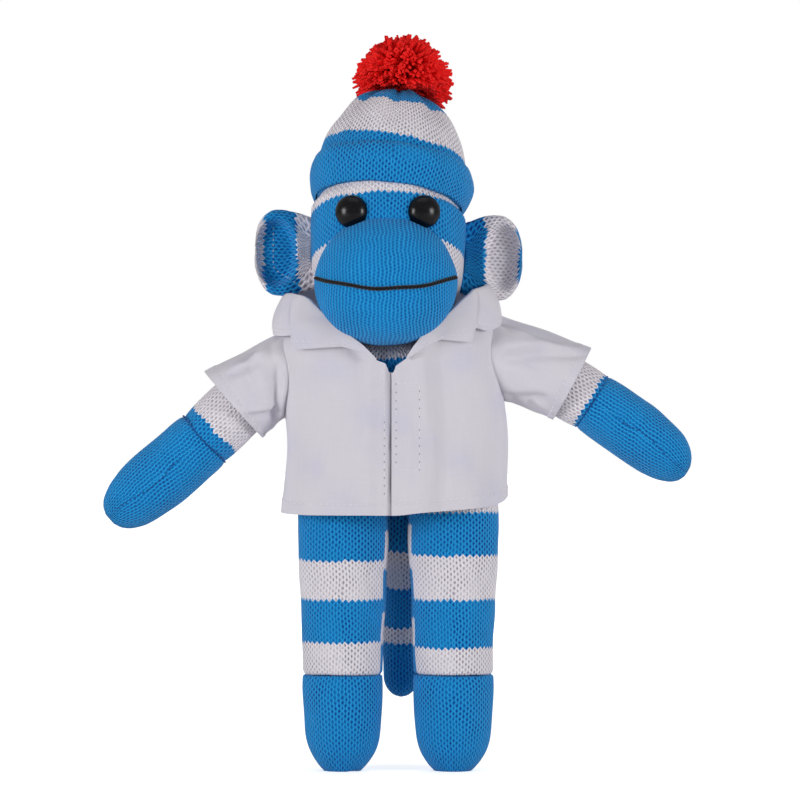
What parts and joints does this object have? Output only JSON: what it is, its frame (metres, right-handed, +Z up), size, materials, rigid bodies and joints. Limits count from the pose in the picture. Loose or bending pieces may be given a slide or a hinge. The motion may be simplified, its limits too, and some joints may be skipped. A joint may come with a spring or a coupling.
{
  "type": "sock monkey doll",
  "caption": "Stuffed sock monkey doll with striped knit limbs and tail, cupped ears, safety eyes, a knitted cap with a pompom and a short white cotton coat.",
  "frame": {"origin": "centre of the bottom of the bounding box, on the floor under the feet", "axes": "+Z up, -Y the way the doll faces, +X towards the viewer's right"},
  "size_m": [0.2441, 0.0869, 0.3063],
  "materials": {
    "blue_knit": "matte",
    "striped_knit": "matte",
    "white_knit": "matte",
    "white_cotton": "matte",
    "red_yarn": "matte",
    "black_yarn": "matte",
    "black_plastic": "gloss",
    "white_plastic": "matte",
    "nylon_strip": "matte"
  },
  "bodies": {
    "body": {"torso": "striped_knit", "tail_base": "striped_knit", "coat_back": "white_cotton", "coat_front_left": "white_cotton", "coat_front_right": "white_cotton", "sleeve_left": "white_cotton", "sleeve_right": "white_cotton", "collar": "white_cotton", "hook_strip": "nylon_strip", "loop_strip": "nylon_strip"},
    "head": {"head": "striped_knit", "muzzle": "blue_knit", "mouth_thread": "black_yarn", "eye_left": "black_plastic", "eye_right": "black_plastic", "eye_washer_left": "white_plastic", "eye_washer_right": "white_plastic", "hat_crown": "striped_knit", "hat_cuff": "blue_knit"},
    "pompom": {"pompom": "red_yarn", "pompom_tie": "red_yarn"},
    "ear_left": {"ear_left": "blue_knit"},
    "ear_right": {"ear_right": "blue_knit"},
    "arm_left": {"arm_left": "white_knit", "mitten_left": "blue_knit"},
    "arm_right": {"arm_right": "white_knit", "mitten_right": "blue_knit"},
    "leg_left": {"leg_left": "striped_knit", "foot_left": "blue_knit"},
    "leg_right": {"leg_right": "striped_knit", "foot_right": "blue_knit"},
    "tail": {"tail": "striped_knit"}
  },
  "joints": [
    {"name": "neck_turn", "type": "hinge", "parent": "body", "child": "head", "pos_m": [-0.0036, 0.0048, 0.178], "axis": [0, 0, 1], "range_deg": [-12, 12], "stiffness_Nm_per_rad": 0.05, "deforming": ["collar", "coat_front_left", "coat_front_right"]},
    {"name": "hip_left", "type": "hinge", "parent": "body", "child": "leg_left", "pos_m": [-0.0225, 0.0048, 0.1286], "axis": [-1, 0, 0], "range_deg": [-5, 85], "deforming": ["coat_back", "coat_front_left", "coat_front_right", "hook_strip", "loop_strip"]},
    {"name": "hip_right", "type": "hinge", "parent": "body", "child": "leg_right", "pos_m": [0.0233, 0.0048, 0.1286], "axis": [-1, 0, 0], "range_deg": [-5, 85], "deforming": ["coat_back", "coat_front_left", "coat_front_right", "hook_strip", "loop_strip"]},
    {"name": "shoulder_left", "type": "hinge", "parent": "body", "child": "arm_left", "pos_m": [-0.04912, 0.0048, 0.1676], "axis": [0, 1, 0], "range_deg": [-12, 65], "stiffness_Nm_per_rad": 0.03, "springref_deg": 4.58, "deforming": ["sleeve_left", "coat_back", "coat_front_left", "coat_front_right", "collar"]},
    {"name": "shoulder_right", "type": "hinge", "parent": "body", "child": "arm_right", "pos_m": [0.04238, 0.0048, 0.174], "axis": [0, -1, 0], "range_deg": [-19, 57], "stiffness_Nm_per_rad": 0.03, "springref_deg": 4.58, "deforming": ["sleeve_right", "coat_back", "coat_front_left", "coat_front_right", "collar"]},
    {"name": "ear_flap_left", "type": "hinge", "parent": "head", "child": "ear_left", "pos_m": [-0.0378, 0.0048, 0.2148], "axis": [0, 0, 1], "range_deg": [-20, 20], "stiffness_Nm_per_rad": 0.01},
    {"name": "ear_flap_right", "type": "hinge", "parent": "head", "child": "ear_right", "pos_m": [0.0306, 0.0048, 0.2125], "axis": [0, 0, 1], "range_deg": [-20, 20], "stiffness_Nm_per_rad": 0.01},
    {"name": "tail_swing", "type": "hinge", "parent": "body", "child": "tail", "pos_m": [0.0016, 0.0233, 0.096], "axis": [1, 0, 0], "range_deg": [0, 45], "stiffness_Nm_per_rad": 0.01},
    {"name": "pompom_wobble", "type": "hinge", "parent": "head", "child": "pompom", "pos_m": [0.00092, 0.01965, 0.2807], "axis": [0, 1, 0], "range_deg": [-10, 10], "stiffness_Nm_per_rad": 0.02}
  ]
}
